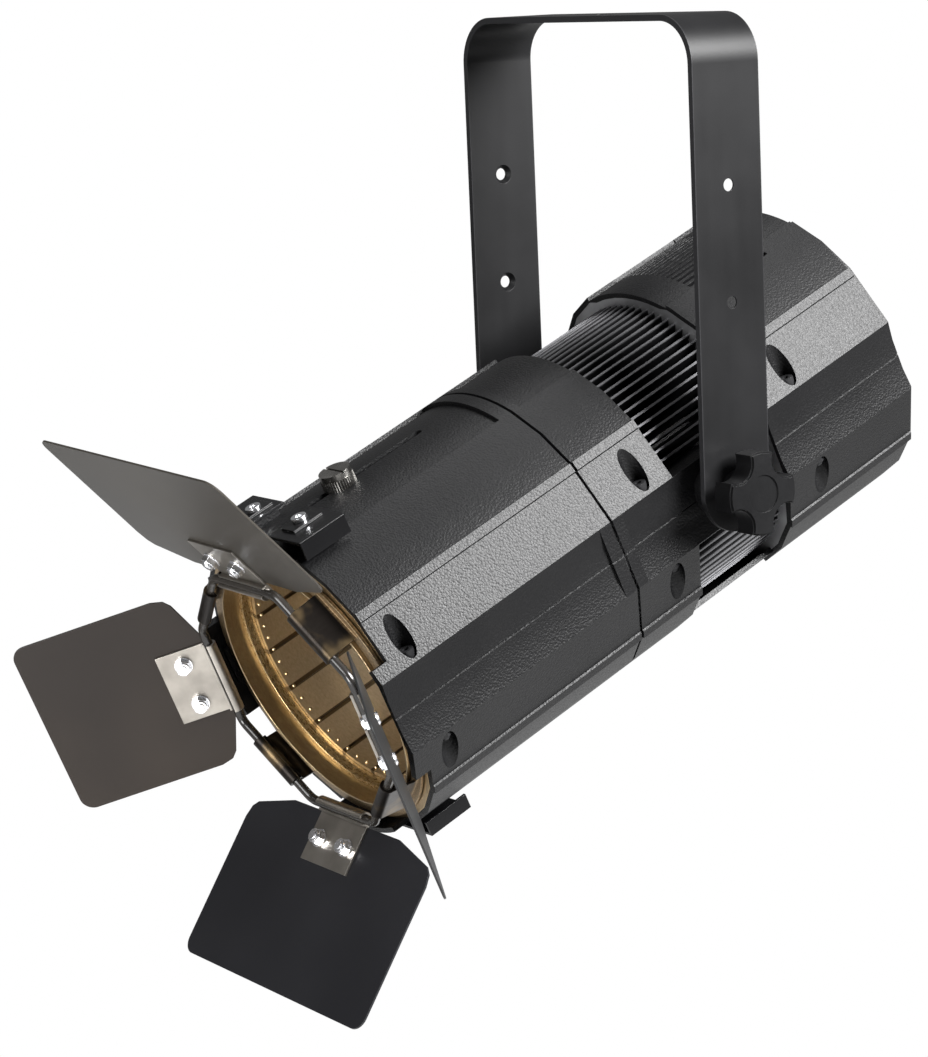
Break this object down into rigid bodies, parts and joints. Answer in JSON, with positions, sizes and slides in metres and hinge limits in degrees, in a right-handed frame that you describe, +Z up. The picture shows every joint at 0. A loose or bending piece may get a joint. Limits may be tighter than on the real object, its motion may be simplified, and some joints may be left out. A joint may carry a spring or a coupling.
{
  "type": "ellipsoidal spotlight",
  "caption": "Theatre spotlight with a finned lamp housing, a lens that slides in a slotted barrel, a hinged-leaf barndoor and a hanging yoke with tilt knobs.",
  "frame": {"origin": "centre of the hanging hole on the top face of the yoke crossbar", "axes": "+X along the tilt axis, -Y the way the beam points seen from above, +Z up"},
  "size_m": [0.2713, 0.4335, 0.4483],
  "materials": {
    "yoke_paint": "satin black powder coat",
    "cast_paint": "black textured powder coat",
    "fin_black": "black anodised",
    "knob_black": "matte",
    "bright_steel": "zinc plated",
    "bush_brass": "machined",
    "washer_black": "fibre washer",
    "liner_bronze": "brushed, bronze anodised",
    "glass": "polished",
    "plate_grey": "plain sheet",
    "board": "solder mask",
    "led_board": "white solder mask",
    "led": "phosphor",
    "reflector": "polished aluminium",
    "panel_paint": "satin",
    "window": "gloss",
    "button": "matte",
    "socket": "matte",
    "socket_metal": "nickel plated",
    "door_paint": "dark bronze satin",
    "leaf_paint": "satin black",
    "clip_steel": "brushed"
  },
  "bodies": {
    "yoke": {"yoke": "yoke_paint"},
    "knob_right": {"tilt_knob_right": "knob_black", "tilt_stud_right": "bright_steel"},
    "knob_left": {"tilt_knob_left": "knob_black", "tilt_stud_left": "bright_steel"},
    "lens_slide": {"lens_carriage": "liner_bronze", "lens": "glass", "lens_ring": "bright_steel"},
    "zoom_screw": {"zoom_thumbscrew": "bright_steel"},
    "barndoor": {"barndoor_plate": "door_paint", "hinge_wire": "door_paint"},
    "door_top": {"leaf_top": "leaf_paint", "clip_top": "clip_steel", "leaf_bolts_top": "bright_steel"},
    "door_bottom": {"leaf_bottom": "leaf_paint", "clip_bottom": "clip_steel", "leaf_bolts_bottom": "bright_steel"},
    "door_left": {"leaf_left": "leaf_paint", "clip_left": "clip_steel", "leaf_bolts_left": "bright_steel"},
    "door_right": {"leaf_right": "leaf_paint", "clip_right": "clip_steel", "leaf_bolts_right": "bright_steel"},
    "menu_button": {"button_menu": "button"},
    "down_button": {"button_down": "button"},
    "up_button": {"button_up": "button"},
    "enter_button": {"button_enter": "button"},
    "housing": {"friction_washers": "washer_black", "pivot_bush_right": "bush_brass", "pivot_bush_left": "bush_brass", "barrel_upper": "cast_paint", "barrel_lower": "cast_paint", "ring_upper": "cast_paint", "ring_lower": "cast_paint", "cover_upper": "cast_paint", "cover_lower": "cast_paint", "shell_screws": "bright_steel", "shell_nuts": "bright_steel", "divider_plate": "plate_grey", "front_collar": "liner_bronze", "lens_tube": "liner_bronze", "heat_sink": "fin_black", "led_board": "led_board", "led_array": "led", "reflector": "reflector", "rear_bulkhead": "plate_grey", "driver_board": "board", "control_board": "board", "rear_panel": "panel_paint", "display_window": "window", "power_inlet": "socket", "data_sockets": "socket_metal", "panel_screws": "bright_steel", "safety_loop": "bright_steel", "bracket_top_right": "panel_paint", "bracket_top_left": "panel_paint", "bracket_bottom": "panel_paint", "bracket_screws": "bright_steel"}
  },
  "joints": [
    {"name": "tilt", "type": "hinge", "parent": "yoke", "child": "housing", "pos_m": [0, 0, -0.224], "axis": [1, 0, 0], "range_deg": [-80, 75]},
    {"name": "tilt_knob_right_turn", "type": "hinge", "parent": "housing", "child": "knob_right", "pos_m": [0.1, 0, -0.224], "axis": [1, 0, 0], "continuous": true},
    {"name": "tilt_knob_left_turn", "type": "hinge", "parent": "housing", "child": "knob_left", "pos_m": [-0.1, 0, -0.224], "axis": [1, 0, 0], "continuous": true},
    {"name": "lens_zoom", "type": "slide", "parent": "housing", "child": "lens_slide", "axis": [0, -0.9178, -0.3971], "range_m": [-0.0485, 0.0175]},
    {"name": "zoom_screw_turn", "type": "hinge", "parent": "lens_slide", "child": "zoom_screw", "pos_m": [0, -0.16637, -0.20665], "axis": [0, -0.3971, 0.9178], "continuous": true},
    {"name": "barndoor_turn", "type": "hinge", "parent": "housing", "child": "barndoor", "pos_m": [0, -0.18318, -0.30327], "axis": [0, -0.9178, -0.3971], "continuous": true},
    {"name": "leaf_top_swing", "type": "hinge", "parent": "barndoor", "child": "door_top", "pos_m": [0.00222, -0.22114, -0.25055], "axis": [-0.9994, -0.0139, 0.032], "range_deg": [-68, 22]},
    {"name": "leaf_bottom_swing", "type": "hinge", "parent": "barndoor", "child": "door_bottom", "pos_m": [-0.00222, -0.17074, -0.36703], "axis": [0.9994, 0.0139, -0.032], "range_deg": [-34, 56]},
    {"name": "leaf_left_swing", "type": "hinge", "parent": "barndoor", "child": "door_left", "pos_m": [-0.06346, -0.19682, -0.30676], "axis": [-0.0349, 0.3969, -0.9172], "range_deg": [-72, 53]},
    {"name": "leaf_right_swing", "type": "hinge", "parent": "barndoor", "child": "door_right", "pos_m": [0.06346, -0.19506, -0.31083], "axis": [0.0349, -0.3969, 0.9172], "range_deg": [-96, 29]},
    {"name": "menu_button_press", "type": "slide", "parent": "housing", "child": "menu_button", "axis": [0, -0.9178, -0.3971], "range_m": [0, 0.0008], "stiffness_N_per_m": 500, "springref_m": -0.0006},
    {"name": "down_button_press", "type": "slide", "parent": "housing", "child": "down_button", "axis": [0, -0.9178, -0.3971], "range_m": [0, 0.0008], "stiffness_N_per_m": 500, "springref_m": -0.0006},
    {"name": "up_button_press", "type": "slide", "parent": "housing", "child": "up_button", "axis": [0, -0.9178, -0.3971], "range_m": [0, 0.0008], "stiffness_N_per_m": 500, "springref_m": -0.0006},
    {"name": "enter_button_press", "type": "slide", "parent": "housing", "child": "enter_button", "axis": [0, -0.9178, -0.3971], "range_m": [0, 0.0008], "stiffness_N_per_m": 500, "springref_m": -0.0006}
  ]
}
